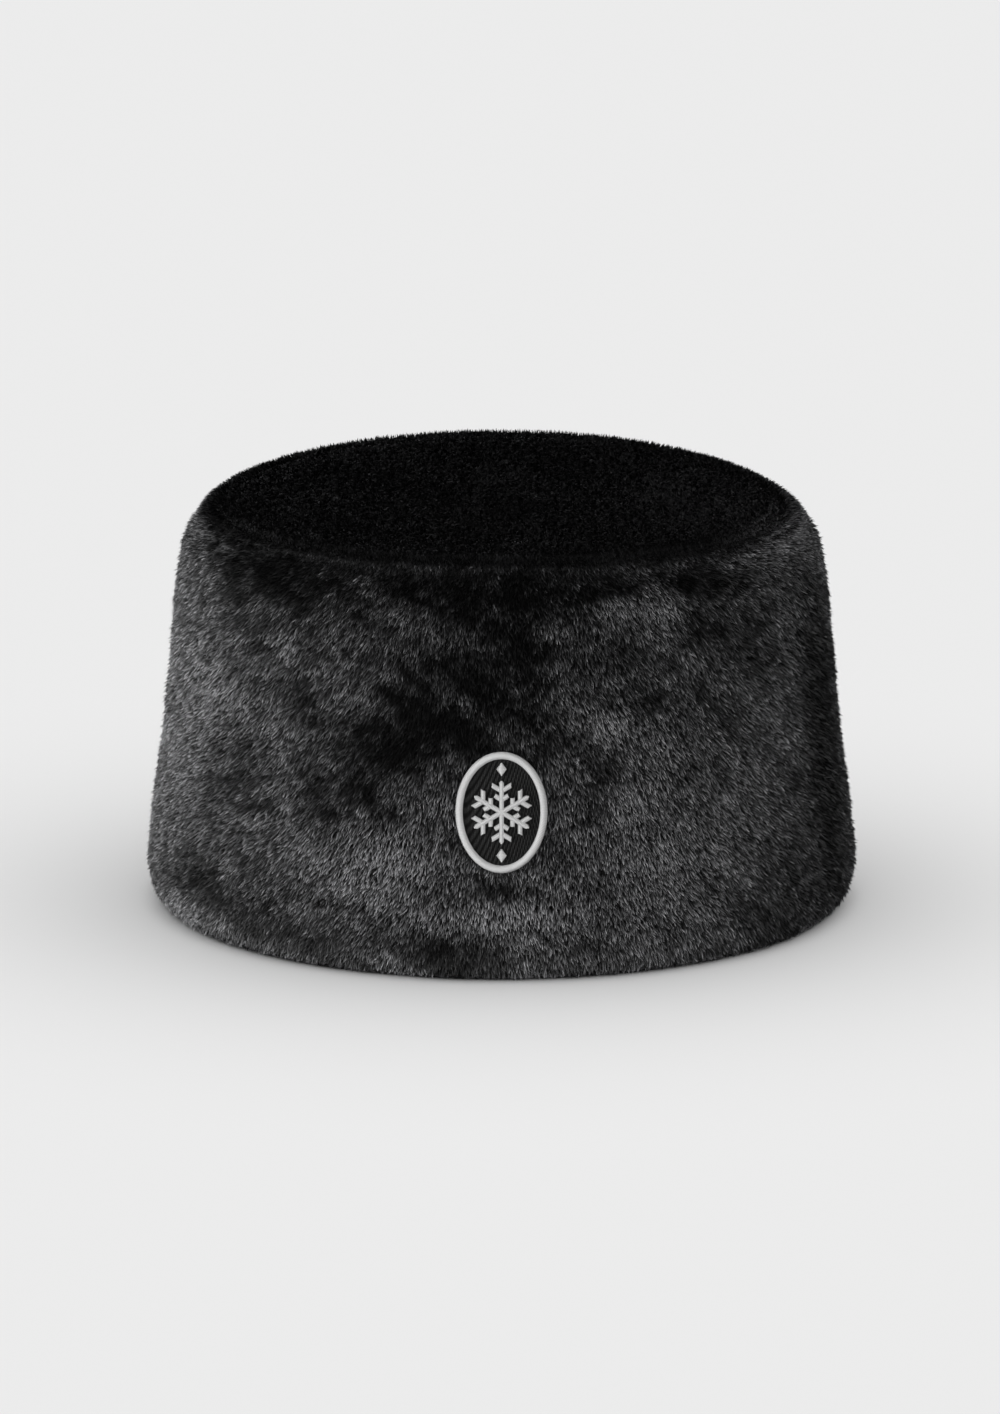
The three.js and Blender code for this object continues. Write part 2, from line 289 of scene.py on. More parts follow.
def band_outline():
    wall = np.array([[s["half_width"], s["height"]] for s in BAND_SECTIONS])
    turn = np.linspace(0, np.pi / 2, OUTLINE_STEPS)[1:, None]
    rim = wall[-1]
    roll = rim + np.hstack([RIM_ROLL * (np.cos(turn) - 1), -rim[1] * np.sin(turn)])
    return Outline(np.vstack([spline(wall, OUTLINE_STEPS), roll]))


def crown_outline():
    edge = SEAM["half_width"] - SEAM["gap"]
    wide, high, drop = (CROWN_SHOULDER[k] for k in ("half_width", "height", "drop"))
    dome = bow((0, CROWN_TOP), (wide / 2, CROWN_TOP), (wide, high))
    side = bow((wide, high), (edge, high - drop), (edge, SEAM["height"]))
    return Outline(np.vstack([dome, side[1:]]))


BAND = band_outline()
CROWN = crown_outline()


def coat_outline():
    """The line over all the tips, from the middle of the crown across the seam and down to the rim's flat."""
    crown = CROWN.points[CROWN.points[:, 1] > SEAM["height"] + SEAM["covered"]]
    band = BAND.points[np.argmax(BAND.points[:, 1]) :]
    flat = band[-1] - [RIM_FLAT, 0]
    return Outline(np.vstack([crown, band, flat])), Outline(np.vstack([crown, band[:1]])).length


COAT, COAT_SEAM = coat_outline()


def within_half_turn(angle):
    return (angle + np.pi) % (2 * np.pi) - np.pi


def turned_from_front(angle):
    return within_half_turn(angle - FRONT)


def sag(turn, wide, below_seam):
    """How far the soft top sinks, most at both sides, less to the middle of the crown and down the wall."""
    side = np.where(turn < 0, SAG["left"], SAG["right"])
    whole = side * np.sin(turn) ** 2 + SAG["back"] * (1 - np.cos(turn)) / 2
    on_crown = (wide / SEAM["half_width"]) ** 3
    on_band = np.exp(-((below_seam / SAG["fade"]) ** 2))
    return whole * np.where(below_seam < 0, on_crown, on_band)


def band_share(along):
    """0 on the crown and 1 on the band, with a soft change over the seam."""
    return np.clip((along - COAT_SEAM) / SEAM["change"] + 0.5, 0, 1)


def pile_share(along):
    """The share of the full depth that the pile has, less towards the seam and the turned rim."""
    from_edge = np.minimum(abs(along - COAT_SEAM), abs(COAT.length - RIM_FLAT - along))
    share = np.clip(from_edge / PILE["fade"], 0, 1)
    return PILE["least"] + (1 - PILE["least"]) * share * (2 - share)


def backing_outline(start, end, steps):
    """A part of the coat's line, as deep below it as the roots of the pile."""
    along = np.linspace(start, end, steps)
    depth = PILE["depth"] * pile_share(along)
    return COAT.point(along) - depth[:, None] * COAT.outwards(along)


# The backing under the fur


def deselect_all():
    bpy.ops.object.select_all(action="DESELECT")


def start_ring(name, half_width, height):
    """A ring of points in edit mode, drawn out to the hat's oval."""
    deselect_all()
    bpy.ops.mesh.primitive_circle_add(vertices=BACKING["points_round"], radius=1, location=(0, 0, 0))
    ring = bpy.context.object
    ring.name = ring.data.name = name
    bpy.ops.object.mode_set(mode="EDIT")
    bpy.ops.mesh.select_all(action="SELECT")
    oval = (half_width * MM, half_length(half_width) * MM, 1)
    bpy.ops.transform.resize(value=oval, center_override=(0, 0, 0))
    bpy.ops.transform.translate(value=(0, 0, height * MM))
    return ring


def turned_shell(name, sections):
    """A wall drawn ring by ring through sections of half width and height."""
    (wide, high), *rest = sections
    shell = start_ring(name, wide, high)
    for next_wide, next_high in rest:
        bpy.ops.mesh.extrude_region_move(TRANSFORM_OT_translate={"value": (0, 0, (next_high - high) * MM)})
        factors = (next_wide / wide, half_length(next_wide) / half_length(wide), 1)
        bpy.ops.transform.resize(value=factors, center_override=(0, 0, next_high * MM))
        wide, high = next_wide, next_high
    return shell


def close_shell(shell, capped):
    """Joins the two open ends of a wall, or gives each a cap."""
    bpy.ops.mesh.select_all(action="DESELECT")
    bpy.ops.mesh.select_mode(type="EDGE")
    bpy.ops.mesh.select_non_manifold()
    if capped:
        bpy.ops.mesh.edge_face_add()
    else:
        bpy.ops.mesh.bridge_edge_loops()
    bpy.ops.mesh.select_all(action="SELECT")
    bpy.ops.mesh.normals_make_consistent(inside=False)
    bpy.ops.object.mode_set(mode="OBJECT")
    bpy.ops.object.shade_smooth_by_angle(angle=math.radians(BACKING["sharp"]))
    return shell


def let_sag(shell, seam_height):
    """Sinks the top of a shell with the coat over it. What is over the seam's height counts as the crown."""
    x, y, high = np.array([corner.co for corner in shell.data.vertices]).T / MM
    down = sag(turned_from_front(np.arctan2(y, x)), np.hypot(x, y), seam_height - high)
    high = np.where(high > CROWN_UNDERSIDE + SAG["margin"], high - down, high)
    shell.data.vertices.foreach_set("co", (np.stack([x, y, high], -1) * MM).reshape(-1).astype(np.float32))
    shell.data.update()
    return shell


def band_backing():
    shelf = CROWN_UNDERSIDE - SEAM["gap"]
    outside = backing_outline(COAT_SEAM + SEAM["gap"], COAT.length - RIM_FLAT, BACKING["band_rings"])
    edge = [(HEAD["rim"] + s["beyond"], s["height"]) for s in RIM_EDGE]
    inside = [((HEAD["rim"] + HEAD["top"]) / 2, shelf / 2), (HEAD["top"], shelf), (SEAM["half_width"], shelf)]
    shell = close_shell(turned_shell("band_backing", [*outside, *edge, *inside]), capped=False)
    return let_sag(shell, COAT.point(COAT_SEAM)[1])


def crown_backing():
    cap = BACKING["cap"]
    top = backing_outline(cap, COAT_SEAM - SEAM["gap"], BACKING["crown_rings"])
    edge = SEAM["half_width"] - SEAM["gap"]
    hem = (edge - CROWN_HEM["width"], CROWN_UNDERSIDE - CROWN_HEM["drop"])
    underside = [(edge, CROWN_UNDERSIDE), hem, (cap, CROWN_UNDERSIDE)]
    shell = turned_shell("crown_backing", [*top, *underside])
    return let_sag(close_shell(shell, capped=True), CROWN_UNDERSIDE)


# The hair


def unevenness(points, sizes, waves, generator):
    """A height at each point, about -1 to 1, from waves in random directions, as long as the sizes."""
    total = np.zeros(len(points))
    for _ in range(waves):
        way = generator.normal(size=3)
        way /= np.linalg.norm(way)
        size = generator.uniform(*sizes)
        total += np.sin(points @ way * (2 * np.pi / size) + generator.uniform(0, 2 * np.pi))
    return total / math.sqrt(waves)


def patches(face, along):
    """The lean that the named patches add at places on the coat, and their tone, which is painted light and
    painted shade.
    """
    lean, tone = np.zeros(len(along)), np.zeros(len(along))
    seam_height = COAT.point(COAT_SEAM)[1]
    on_crown = along < COAT_SEAM
    high = np.where(on_crown, seam_height + COAT_SEAM - along, COAT.point(along)[:, 1])
    for patch in PATCHES:
        away = within_half_turn(face.turn - math.radians(patch["turn"]))
        across = away * face.wide / patch["across"]
        up = (high - patch["height"]) / patch["up"]
        share = np.exp(-(across**2) - up**2) * (on_crown == (patch["height"] > seam_height))
        lean += patch["lean"] * share
        tone += patch["tone"] * share
    return lean, tone


def badge_reach(turn, wide, high):
    """Distance from the badge's middle in badge sizes: 1 is its edge."""
    across = wide * np.sin(turn) / BADGE["half_width"]
    up = (high - BADGE["middle"]) / BADGE["half_height"]
    return np.where(np.cos(turn) > 0, np.hypot(across, up), FAR_AWAY)


def root_places(generator):
    """Angle and length along the coat of each hair's root, evenly spread and a little shaken."""
    angles, alongs = [], []
    start = 0.0
    while start < COAT.length - RIM_FLAT / 2:
        spacing = SPACING["crown" if start < COAT_SEAM else "band"]
        wide = COAT.point(np.array(start + spacing / 2))[0]
        count = max(3, round(np.pi * (wide + half_length(wide)) / spacing))
        places = np.arange(count) + generator.uniform(0, 1) + generator.uniform(*VARIES["place"], count)
        angles.append(FRONT + np.pi + 2 * np.pi * places / count)
        alongs.append(start + generator.uniform(0, 1, count) * spacing)
        start += spacing
    return np.concatenate(angles), np.concatenate(alongs)


def unit(vectors):
    return vectors / np.linalg.norm(vectors, axis=-1, keepdims=True)


class Face:
    """Places on the coat, with the way out of it and the length of a turn round the hat."""

    margin = 0.05
    smoothing = 3.0

    def __init__(self, angle, along):
        along = np.clip(along, self.margin, COAT.length - self.margin)
        way = COAT.tangent(along, self.smoothing)
        self.wide, self.high = COAT.point(along).T
        self.turn = turned_from_front(angle)
        self.high = self.high - sag(self.turn, self.wide, along - COAT_SEAM)
        long = half_length(self.wide)
        stretch = 1 + np.where(self.wide < SEAM["half_width"], OVAL / SEAM["half_width"], 0)
        cos, sin = np.cos(angle), np.sin(angle)
        self.point = np.stack([self.wide * cos, long * sin, self.high], -1)
        around = np.stack([-self.wide * sin, long * cos, np.zeros(len(long))], -1)
        self.per_turn = np.maximum(np.linalg.norm(around, axis=-1), SPACING["crown"])
        down = unit(np.stack([way[:, 0] * cos, way[:, 0] * stretch * sin, way[:, 1]], -1))
        self.out = unit(np.cross(down, unit(around)))


def calmed(what, to_band):
    """The share of an unevenness that is left on the crown, and the whole of it on the band."""
    return CROWN_CALM[what] + (1 - CROWN_CALM[what]) * to_band


def hairs(angle, along, share, pressed, lean, slant, tone, generator):
    """Blades of fur as corner points, root, two at the widest place and tip, and each one's tone."""
    count = len(angle)
    face = Face(angle, along)

    def place(way, rise):
        """Points at a way along the coat from the roots, and a rise over its face."""
        sideways, down = way * np.sin(slant), along + way * np.cos(slant)
        flat = along < COAT_SEAM
        turned = np.where(flat, np.arctan2(sideways, down), sideways / face.per_turn)
        there = Face(angle + turned, np.where(flat, np.hypot(sideways, down), down))
        return there.point + rise[:, None] * there.out

    lean = np.degrees(np.arccos(np.cos(np.radians(lean)) * np.sqrt(share)))
    calm = calmed("hairs", band_share(along))
    lean = np.radians(lean + generator.normal(0, HAIR["lean"], count) * calm)
    slant = np.radians(slant + generator.normal(0, HAIR["slant"], count))
    long = PILE["length"] * np.sqrt(share) * (1 + generator.uniform(*VARIES["length"], count) * calm)
    curl = math.radians(PILE["curl"])
    near, far = long * HAIR["widest"], long * (1 - HAIR["widest"])
    root_rise = -(PILE["depth"] * share + pressed)
    widest_rise = root_rise + near * np.cos(lean - curl)
    tip_rise = widest_rise + far * np.cos(lean + curl)
    widest_reach = near * np.sin(lean - curl)
    tip_reach = widest_reach + far * np.sin(lean + curl)
    root = place(0, root_rise)
    widest = place(widest_reach, widest_rise)
    tip = place(tip_reach, tip_rise)
    upper = unit(tip - widest)
    beside = unit(np.cross(upper, face.out))
    flat = unit(np.cross(beside, upper))
    twist = np.radians(generator.uniform(-1, 1, count) * HAIR["twist"])[:, None]
    width = (HAIR["width"] * generator.uniform(*VARIES["width"], count))[:, None]
    half = (np.cos(twist) * beside + np.sin(twist) * flat) * width / 2
    corners = np.stack([root, widest - half, widest + half, tip], 1)
    corners[..., 2] = np.maximum(corners[..., 2], FLOOR_GAP)
    tone = tone * (1 + generator.normal(0, HAIR["tone"], count) * calm)
    return corners, np.clip(tone, TONE["least"], TONE["most"])


# A hair's two faces, by its corners: root, both sides of the widest place, and tip
BLADE_FACES = [0, 2, 1, 1, 2, 3]


def fur_piece(name, corners, tone):
    """One mesh of many hairs, each of two pointed faces that meet at its widest place."""
    count = len(corners)
    mesh = bpy.data.meshes.new(name)
    mesh.vertices.add(count * 4)
    mesh.vertices.foreach_set("co", (corners.reshape(-1) * MM).astype(np.float32))
    loops = np.arange(count)[:, None] * 4 + BLADE_FACES
    mesh.loops.add(loops.size)
    mesh.loops.foreach_set("vertex_index", loops.reshape(-1).astype(np.int32))
    mesh.polygons.add(count * 2)
    mesh.polygons.foreach_set("loop_start", np.arange(0, count * 6, 3, dtype=np.int32))
    mesh.polygons.foreach_set("use_smooth", np.ones(count * 2, bool))
    mesh.update(calc_edges=True)
    along = np.array([0, HAIR["widest"], HAIR["widest"], 1])[BLADE_FACES]
    places = np.stack([np.repeat(tone, 6), np.tile(along, count)], -1)
    layer = mesh.uv_layers.new(name="OFBake")
    layer.data.foreach_set("uv", places.reshape(-1).astype(np.float32))
    mesh.validate()
    piece = bpy.data.objects.new(name, mesh)
    bpy.context.scene.collection.objects.link(piece)
    return piece


def beside_badge(angle, along):
    """The roots that aren't under the badge, and how far from it they are, in badge sizes."""
    face = Face(angle, along)
    reach = np.where(along > COAT_SEAM, badge_reach(face.turn, face.wide, face.high), FAR_AWAY)
    lower = badge_reach(face.turn, face.wide, face.high - BESIDE_BADGE["over"])
    grows = (reach >= 1) | (lower >= 1)
    return angle[grows], along[grows], reach[grows]


def laid_hair(face, along, generator):
    """The lean, slant and tone of hair: laid down and fanned on the band, and forwards on the crown. The tone
    holds the patches' painted light and painted shade, and the crown's painted shade on the top.
    """
    lean_more, painted_light_and_shade = patches(face, along)
    to_band = band_share(along)
    fanned = np.radians(FANNING * np.sin(face.turn))
    sideways = to_band * np.sin(fanned) - (1 - to_band) * np.sin(face.turn)
    downwards = to_band * np.cos(fanned) + (1 - to_band) * np.cos(face.turn)
    slant = np.degrees(np.arctan2(sideways, downwards))
    lean = PILE["lean"] + PILE["crown_lean"] * (1 - to_band) + lean_more * to_band
    tone_bumps = np.zeros(len(along))
    for bump in BUMPS:
        height = unevenness(face.point, bump["sizes"], bump["waves"], generator)
        lean += bump["lean"] * height
        slant += bump["slant"] * height
        tone_bumps += bump["tone"] * height
    # The crown's lower tone is painted shade on the top, and the patches add painted light and painted shade
    tone = np.where(along > COAT_SEAM, TONE["band"], TONE["crown"]) + TONE["patch"] * painted_light_and_shade
    return lean * np.hypot(sideways, downwards), slant, tone + tone_bumps * calmed("bumps", to_band)


def fur():
    """The whole coat, in pieces: the four sides of the band, and the crown."""
    generator = np.random.default_rng(SEED)
    angle, along, reach = beside_badge(*root_places(generator))
    face = Face(angle, along)
    lean, slant, tone = laid_hair(face, along, generator)
    from_edge = np.clip((reach - 1) / BESIDE_BADGE["fade"], 0, 1)
    pressed = BESIDE_BADGE["pressed"] * (1 - from_edge) ** 2
    corners, tones = hairs(angle, along, pile_share(along), pressed, lean, slant, tone, generator)
    side = np.floor((face.turn + np.pi / 4) / (np.pi / 2)).astype(int) % 4
    side = np.where(along > COAT_SEAM, side, 4)
    names = ["band_fur_front", "band_fur_right", "band_fur_back", "band_fur_left", "crown_fur"]
    return [fur_piece(name, corners[side == i], tones[side == i]) for i, name in enumerate(names)]


# The stitches of the badge


def band_half_width(height):
    wall = BAND.points[np.argmax(BAND.points[:, 1]) :][::-1]
    return np.interp(height, wall[:, 1], wall[:, 0])


def on_badge(across, up, out):
    """Places laid round the band: across and up from the badge's middle, and out from its back."""
    high = BADGE["middle"] + up
    wide = band_half_width(high) - BADGE["sink"] + BADGE["gap"] + out
    angle = FRONT + np.arcsin(across / wide)
    return np.stack([wide * np.cos(angle), half_length(wide) * np.sin(angle), high], -1)


def one_stitch():
    """A short thread along X, one long and one wide, drawn in at both ends: its points and faces."""
    half, nearly_half = 0.5, 0.49
    deselect_all()
    bpy.ops.mesh.primitive_cylinder_add(
        vertices=STITCH["sides"], radius=half, depth=1, end_fill_type="NGON", rotation=(0, math.pi / 2, 0)
    )
    stitch = bpy.context.object
    bpy.ops.object.transform_apply(location=True, rotation=True, scale=True)
    bpy.ops.object.mode_set(mode="EDIT")
    bpy.ops.mesh.select_mode(type="EDGE")
    bpy.ops.mesh.select_all(action="DESELECT")
    bpy.ops.object.mode_set(mode="OBJECT")
    points = [v.co for v in stitch.data.vertices]
    for edge in stitch.data.edges:
        start, end = (points[i] for i in edge.vertices)
        edge.select = abs(start.x - end.x) > half
    bpy.ops.object.mode_set(mode="EDIT")
    bpy.ops.mesh.subdivide(number_cuts=STITCH["cuts"])
    bpy.ops.mesh.select_mode(type="VERT")
    bpy.ops.mesh.select_all(action="DESELECT")
    bpy.ops.object.mode_set(mode="OBJECT")
    for vertex in stitch.data.vertices:
        vertex.select = abs(vertex.co.x) > nearly_half
    bpy.ops.object.mode_set(mode="EDIT")
    bpy.ops.transform.resize(value=(1, STITCH["end"], STITCH["end"]), center_override=(0, 0, 0))
    bpy.ops.mesh.select_all(action="SELECT")
    bpy.ops.mesh.quads_convert_to_tris()
    bpy.ops.mesh.normals_make_consistent(inside=False)
    bpy.ops.object.mode_set(mode="OBJECT")
    points = np.array([v.co for v in stitch.data.vertices])
    faces = np.array([list(p.vertices) for p in stitch.data.polygons])
    bpy.data.objects.remove(stitch)
    return points, faces


STITCH_SHAPE = one_stitch()


def stitched(name, stitches, low, high):
    """One piece of many stitches, each from a start to an end on the badge, and higher between them."""
    starts, ends = (np.array([s[i] for s in stitches], float)[:, None, :] for i in (0, 1))
    points, faces = STITCH_SHAPE
    width = STITCH["pitch"] * STITCH["width"]
    way = unit(ends - starts)
    aside = np.stack([-way[..., 1], way[..., 0]], -1)
    along = points[None, :, :1]
    flat = (starts + ends) / 2 + (ends - starts) * along + aside * points[None, :, 1:2] * width
    out = low + (high - low) * (1 - (2 * along[..., 0]) ** 2) + points[None, :, 2] * width
    corners = on_badge(flat[..., 0], flat[..., 1], out) * MM
    count = len(stitches)
    joined = (faces[None] + (np.arange(count) * len(points))[:, None, None]).reshape(-1, 3)
    mesh = bpy.data.meshes.new(name)
    mesh.from_pydata(corners.reshape(-1, 3).tolist(), [], joined.tolist())
    mesh.polygons.foreach_set("use_smooth", np.ones(len(joined), bool))
    layer = mesh.uv_layers.new(name="OFBake")
    corner = points[faces.reshape(-1)]
    ring = np.arctan2(corner[:, 2], corner[:, 1]) / (2 * np.pi) + 0.5
    places = np.tile(np.stack([corner[:, 0] + 0.5, ring], -1), (count, 1))
    layer.data.foreach_set("uv", places.reshape(-1).astype(np.float32))
    mesh.update()
    piece = bpy.data.objects.new(name, mesh)
    bpy.context.scene.collection.objects.link(piece)
    return piece


def on_oval(angle, inwards):
    """A place on the badge's oval, drawn in by a length."""
    half_width, half_height = BADGE["half_width"] - inwards, BADGE["half_height"] - inwards
    return half_width * math.cos(angle), half_height * math.sin(angle)


def border_stitches():
    count = round(np.pi * (BADGE["half_width"] + BADGE["half_height"]) / STITCH["pitch"])
    inner, outer = BORDER["width"] + BORDER["inwards"], -BORDER["outwards"]
    turns = [2 * math.pi * i / count for i in range(count)]
    return [(on_oval(turn + BORDER["slant"], inner), on_oval(turn, outer)) for turn in turns]


def across_a_line(start, way, length, half_width):
    """Stitches side by side along a line, each across it."""
    aside = np.array([-way[1], way[0]])
    places = np.arange(STITCH["pitch"] / 2, length, STITCH["pitch"])
    return [tuple(start + way * p + side * aside * half_width(p) for side in (-1, 1)) for p in places]


def turned_way(angle):
    return np.array([math.cos(angle), math.sin(angle)])


def snowflake_stitches():
    stitches = []
    thread, length, tip = (SNOWFLAKE[k] for k in ("thread", "length", "tip"))
    for arm in range(SNOWFLAKE["arms"]):
        angle = math.pi / 2 + 2 * math.pi * arm / SNOWFLAKE["arms"]
        way = turned_way(angle)
        stitches += across_a_line(np.zeros(2), way, length, lambda p: min(thread, tip + length - p))
        for twig in SNOWFLAKE_TWIGS:
            for side in (-1, 1):
                lean = turned_way(angle + side * math.pi / 3)
                root = way * twig["along"] * length + lean * thread
                stitches += across_a_line(root, lean, twig["length"], lambda p: thread)
    return stitches


def diamond_half_width(height):
    """Half the length of a diamond's stitch, by its height over the lower tip."""
    from_middle = abs(height - DIAMOND["half_height"]) / DIAMOND["half_height"]
    return DIAMOND["half_width"] * (1 - from_middle) + DIAMOND["past_edge"]


def diamond_stitches():
    up, high = np.array([0, 1]), DIAMOND["half_height"]
    tips = [np.array([0, end * DIAMOND["off_centre"] - high]) for end in (-1, 1)]
    return [stitch for tip in tips for stitch in across_a_line(tip, up, 2 * high, diamond_half_width)]


def ground_stitches():
    wide, high = (BADGE[side] - GROUND_ROWS["margin"] for side in ("half_width", "half_height"))
    long, overlap, shifts = (GROUND_ROWS[k] for k in ("long", "overlap", "shifts"))
    stitches = []
    for row, across in enumerate(np.arange(-wide + GROUND_ROWS["first"], wide, STITCH["pitch"])):
        reach = high * math.sqrt(1 - (across / wide) ** 2)
        shift = (row % shifts) / shifts * long
        for low in np.arange(-reach + shift - long, reach, long):
            start, end = max(low, -reach), min(low + long + overlap, reach)
            if end - start > GROUND_ROWS["shortest"]:
                stitches.append(((across, start), (across, end)))
    return stitches


# The finishes


class Field:
    """A value in a material's shader, with its maths written as Python's."""

    def __init__(self, finish, socket):
        self.finish, self.socket = finish, socket

    def _worked_out(self, operation, *values):
        return self.finish.node("ShaderNodeMath", {"operation": operation}, *values)

    def __add__(self, other):
        return self._worked_out("ADD", self, other)

    def __mul__(self, other):
        return self._worked_out("MULTIPLY", self, other)

    def __pow__(self, other):
        return self._worked_out("POWER", self, other)

    __radd__ = __add__
    __rmul__ = __mul__

    def sine(self):
        return self._worked_out("SINE", self)

    def turn_with(self, other):
        """The angle of a place, whose Y this is and whose X the other is."""
        return self._worked_out("ARCTAN2", self, other)

    def clamped(self):
        return self._worked_out("MINIMUM", self._worked_out("MAXIMUM", self, 0.0), 1.0)


class Finish:
    """A material made of nodes, with one shader."""

    # A Mix node's share and two colours by their place among its sockets, and the colour that comes out
    mix_inputs = (0, 6, 7)
    mix_output = 2

    def __init__(self, name, **fixed):
        self.material = bpy.data.materials.new(name)
        self.material.use_nodes = True
        self.tree = self.material.node_tree
        self.shader = self.tree.nodes["Principled BSDF"]
        for socket, value in fixed.items():
            self.shader.inputs[socket.replace("_", " ")].default_value = value

    def plug(self, socket, value):
        """Links a socket to a value in the shader, or sets it to a plain number or colour."""
        if isinstance(value, Field):
            self.tree.links.new(value.socket, socket)
        else:
            socket.default_value = value

    def node(self, kind, settings, *values, out=0, **named):
        """Adds a node: its settings first, then the values of its sockets, by their place or name."""
        made = self.tree.nodes.new(kind)
        for name, value in settings.items():
            setattr(made, name, value)
        for place, value in (*enumerate(values), *named.items()):
            self.plug(made.inputs[place], value)
        return Field(self, made.outputs[out])

    def mix(self, share, first, second):
        """A colour between two colours."""
        made = self.tree.nodes.new("ShaderNodeMix")
        made.data_type = "RGBA"
        for place, value in zip(self.mix_inputs, (share, first, second)):
            self.plug(made.inputs[place], value)
        return Field(self, made.outputs[self.mix_output])

    def object_place(self):
        return self.node("ShaderNodeTexCoord", {}, out="Object")

    def uv_place(self):
        return self.node("ShaderNodeUVMap", {"uv_map": "OFBake"})

    def parts(self, place):
        """The X, Y and Z of a place."""
        made = self.tree.nodes.new("ShaderNodeSeparateXYZ")
        self.plug(made.inputs[0], place)
        return [Field(self, part) for part in made.outputs]

    def grain(self, place, scale, detail):
        return self.node("ShaderNodeTexNoise", {}, Vector=place, Scale=scale, Detail=detail)

    def feed(self, socket, field):
        self.plug(self.shader.inputs[socket], field)

    def bump(self, height, relief):
        strength, depth = relief["strength"], relief["depth"]
        return self.node("ShaderNodeBump", {}, Strength=strength, Distance=depth, Height=height)


def grey(value, cool=1.0):
    return (value, value, value * cool, 1.0)


# The fur's greys, each with how cool it is, the root's grey being painted shade deep in the pile, and how
# steeply a hair's tone goes from the dark to the light one
FUR = {"root": (0.001, 1.0), "dark": (0.004, 1.02), "light": (0.75, 1.03), "contrast": 1.6}
# The knit: its sizes, its greys, and the shares of its relief
KNIT = {"rib": 0.0025, "ribs_round": 230, "row": 0.003, "grain": 400.0, "dark": 0.003, "light": 0.03}
KNIT_RELIEF = {"rib": 0.25, "row": 0.2, "grain": 0.5, "level": 0.25, "strength": 0.5, "depth": 0.0004}
FELT = {"grain": 1800.0, "strength": 0.3, "depth": 0.0001}
THREAD = {"turns": 5, "plies": 2, "strength": 0.5, "depth": 0.00006}


def fur_finish(name, painted_root_shade, **fixed):
    """Painted shade deep in the pile, darkest at the root, and each hair's own tone at its tip."""
    finish = Finish(name, **fixed)
    tone, along, _ = finish.parts(finish.uv_place())
    root, dark, light = (grey(*FUR[k]) for k in ("root", "dark", "light"))
    tip = finish.mix(tone ** FUR["contrast"], dark, light)
    finish.feed("Base Color", finish.mix(along**painted_root_shade, root, tip))
    return finish.material


def backing_finish(name, flat):
    """The cloth that carries the fur, a fine rib knit. On the wall the ribs run upwards."""
    finish = Finish(name, Roughness=0.9, Specular_IOR_Level=0.2)
    place = finish.object_place()
    x, y, z = finish.parts(place)
    per_rib, per_row = (2 * math.pi / KNIT[k] for k in ("rib", "row"))
    if flat:
        rib, row = (x * per_rib).sine(), (y * per_row).sine()
    else:
        rib, row = (y.turn_with(x) * KNIT["ribs_round"]).sine(), (z * per_row).sine()
    grain = finish.grain(place, KNIT["grain"], detail=3.0)
    ribs = rib * KNIT_RELIEF["rib"] + rib * row * KNIT_RELIEF["row"]
    knit = (ribs + grain * KNIT_RELIEF["grain"] + KNIT_RELIEF["level"]).clamped()
    finish.feed("Base Color", finish.mix(knit, grey(KNIT["dark"]), grey(KNIT["light"])))
    finish.feed("Normal", finish.bump(knit, KNIT_RELIEF))
    return finish.material


def felt_finish(name, dark, light, **fixed):
    """The padding under the stitches."""
    finish = Finish(name, **fixed)
    grain = finish.grain(finish.object_place(), FELT["grain"], detail=4.0)
    finish.feed("Base Color", finish.mix(grain, grey(dark), grey(light)))
    finish.feed("Normal", finish.bump(grain, FELT))
    return finish.material


def thread_finish(name, dark, light, **fixed):
    """Plies twisted together, with some turns to a stitch, and a painted highlight where they bulge."""
    finish = Finish(name, **fixed)
    along, ring, _ = finish.parts(finish.uv_place())
    ply = ((along * THREAD["turns"] + ring * THREAD["plies"]) * (2 * math.pi)).sine() * 0.5 + 0.5
    # The bulges of the plies are a painted highlight in the colour, with painted shade between them, and real
    # relief through the bump
    finish.feed("Base Color", finish.mix(ply, grey(dark), grey(light)))
    finish.feed("Normal", finish.bump(ply, THREAD))
    return finish.material


def dress(piece, material):
    piece.data.materials.clear()
    piece.data.materials.append(material)
    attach(piece, "root")
    return piece


# The camera looks from a little above, at the photo's angle. Its lens and sensor are in millimetres
CAMERA = {
    "aim": (-0.00045, 0.0, 0.0575),
    "elevation": 12.6,
    "distance": 4.0,
    "sees_to": 50,
    "lens": 339.5,
    "sensor": 36,
}

# Turn is from the front towards the right, and power is in watts. The back light falls on the band alone
LIGHT_AIM = (0, 0, 0.06)
LIGHTS = table(
    "name turn elevation distance size power",
    ("key light left", -62, 6, 1.5, (0.9, 0.6), 27.5),
    ("fill light right", 32, 7, 1.5, (0.2, 0.2), 10.2),
    ("front light low", -8, 3, 1.8, (0.8, 0.4), 8),
    ("edge light left", -118, 8, 1.5, (0.6, 0.6), 12),
    ("back light", 172, 9, 1.5, (0.6, 0.6), 9),
)
# The floor has a light of its own, which makes it as pale as the photo's ground. Softness is an angle
FLOOR = {"grey": 0.8, "size": 30, "light": 3.22, "softness": 120}
ROOM_LIGHT = 0.02


def add_camera():
    up = math.radians(CAMERA["elevation"])
    x, y, z = CAMERA["aim"]
    far = CAMERA["distance"]
    deselect_all()
    bpy.ops.object.camera_add(location=(x, y - far * math.cos(up), z + far * math.sin(up)))
    camera = bpy.context.object
    camera.rotation_euler = (math.pi / 2 - up, 0, 0)
    camera.data.lens = CAMERA["lens"]
    camera.data.sensor_width = CAMERA["sensor"]
    camera.data.clip_end = CAMERA["sees_to"]
    bpy.context.scene.camera = camera


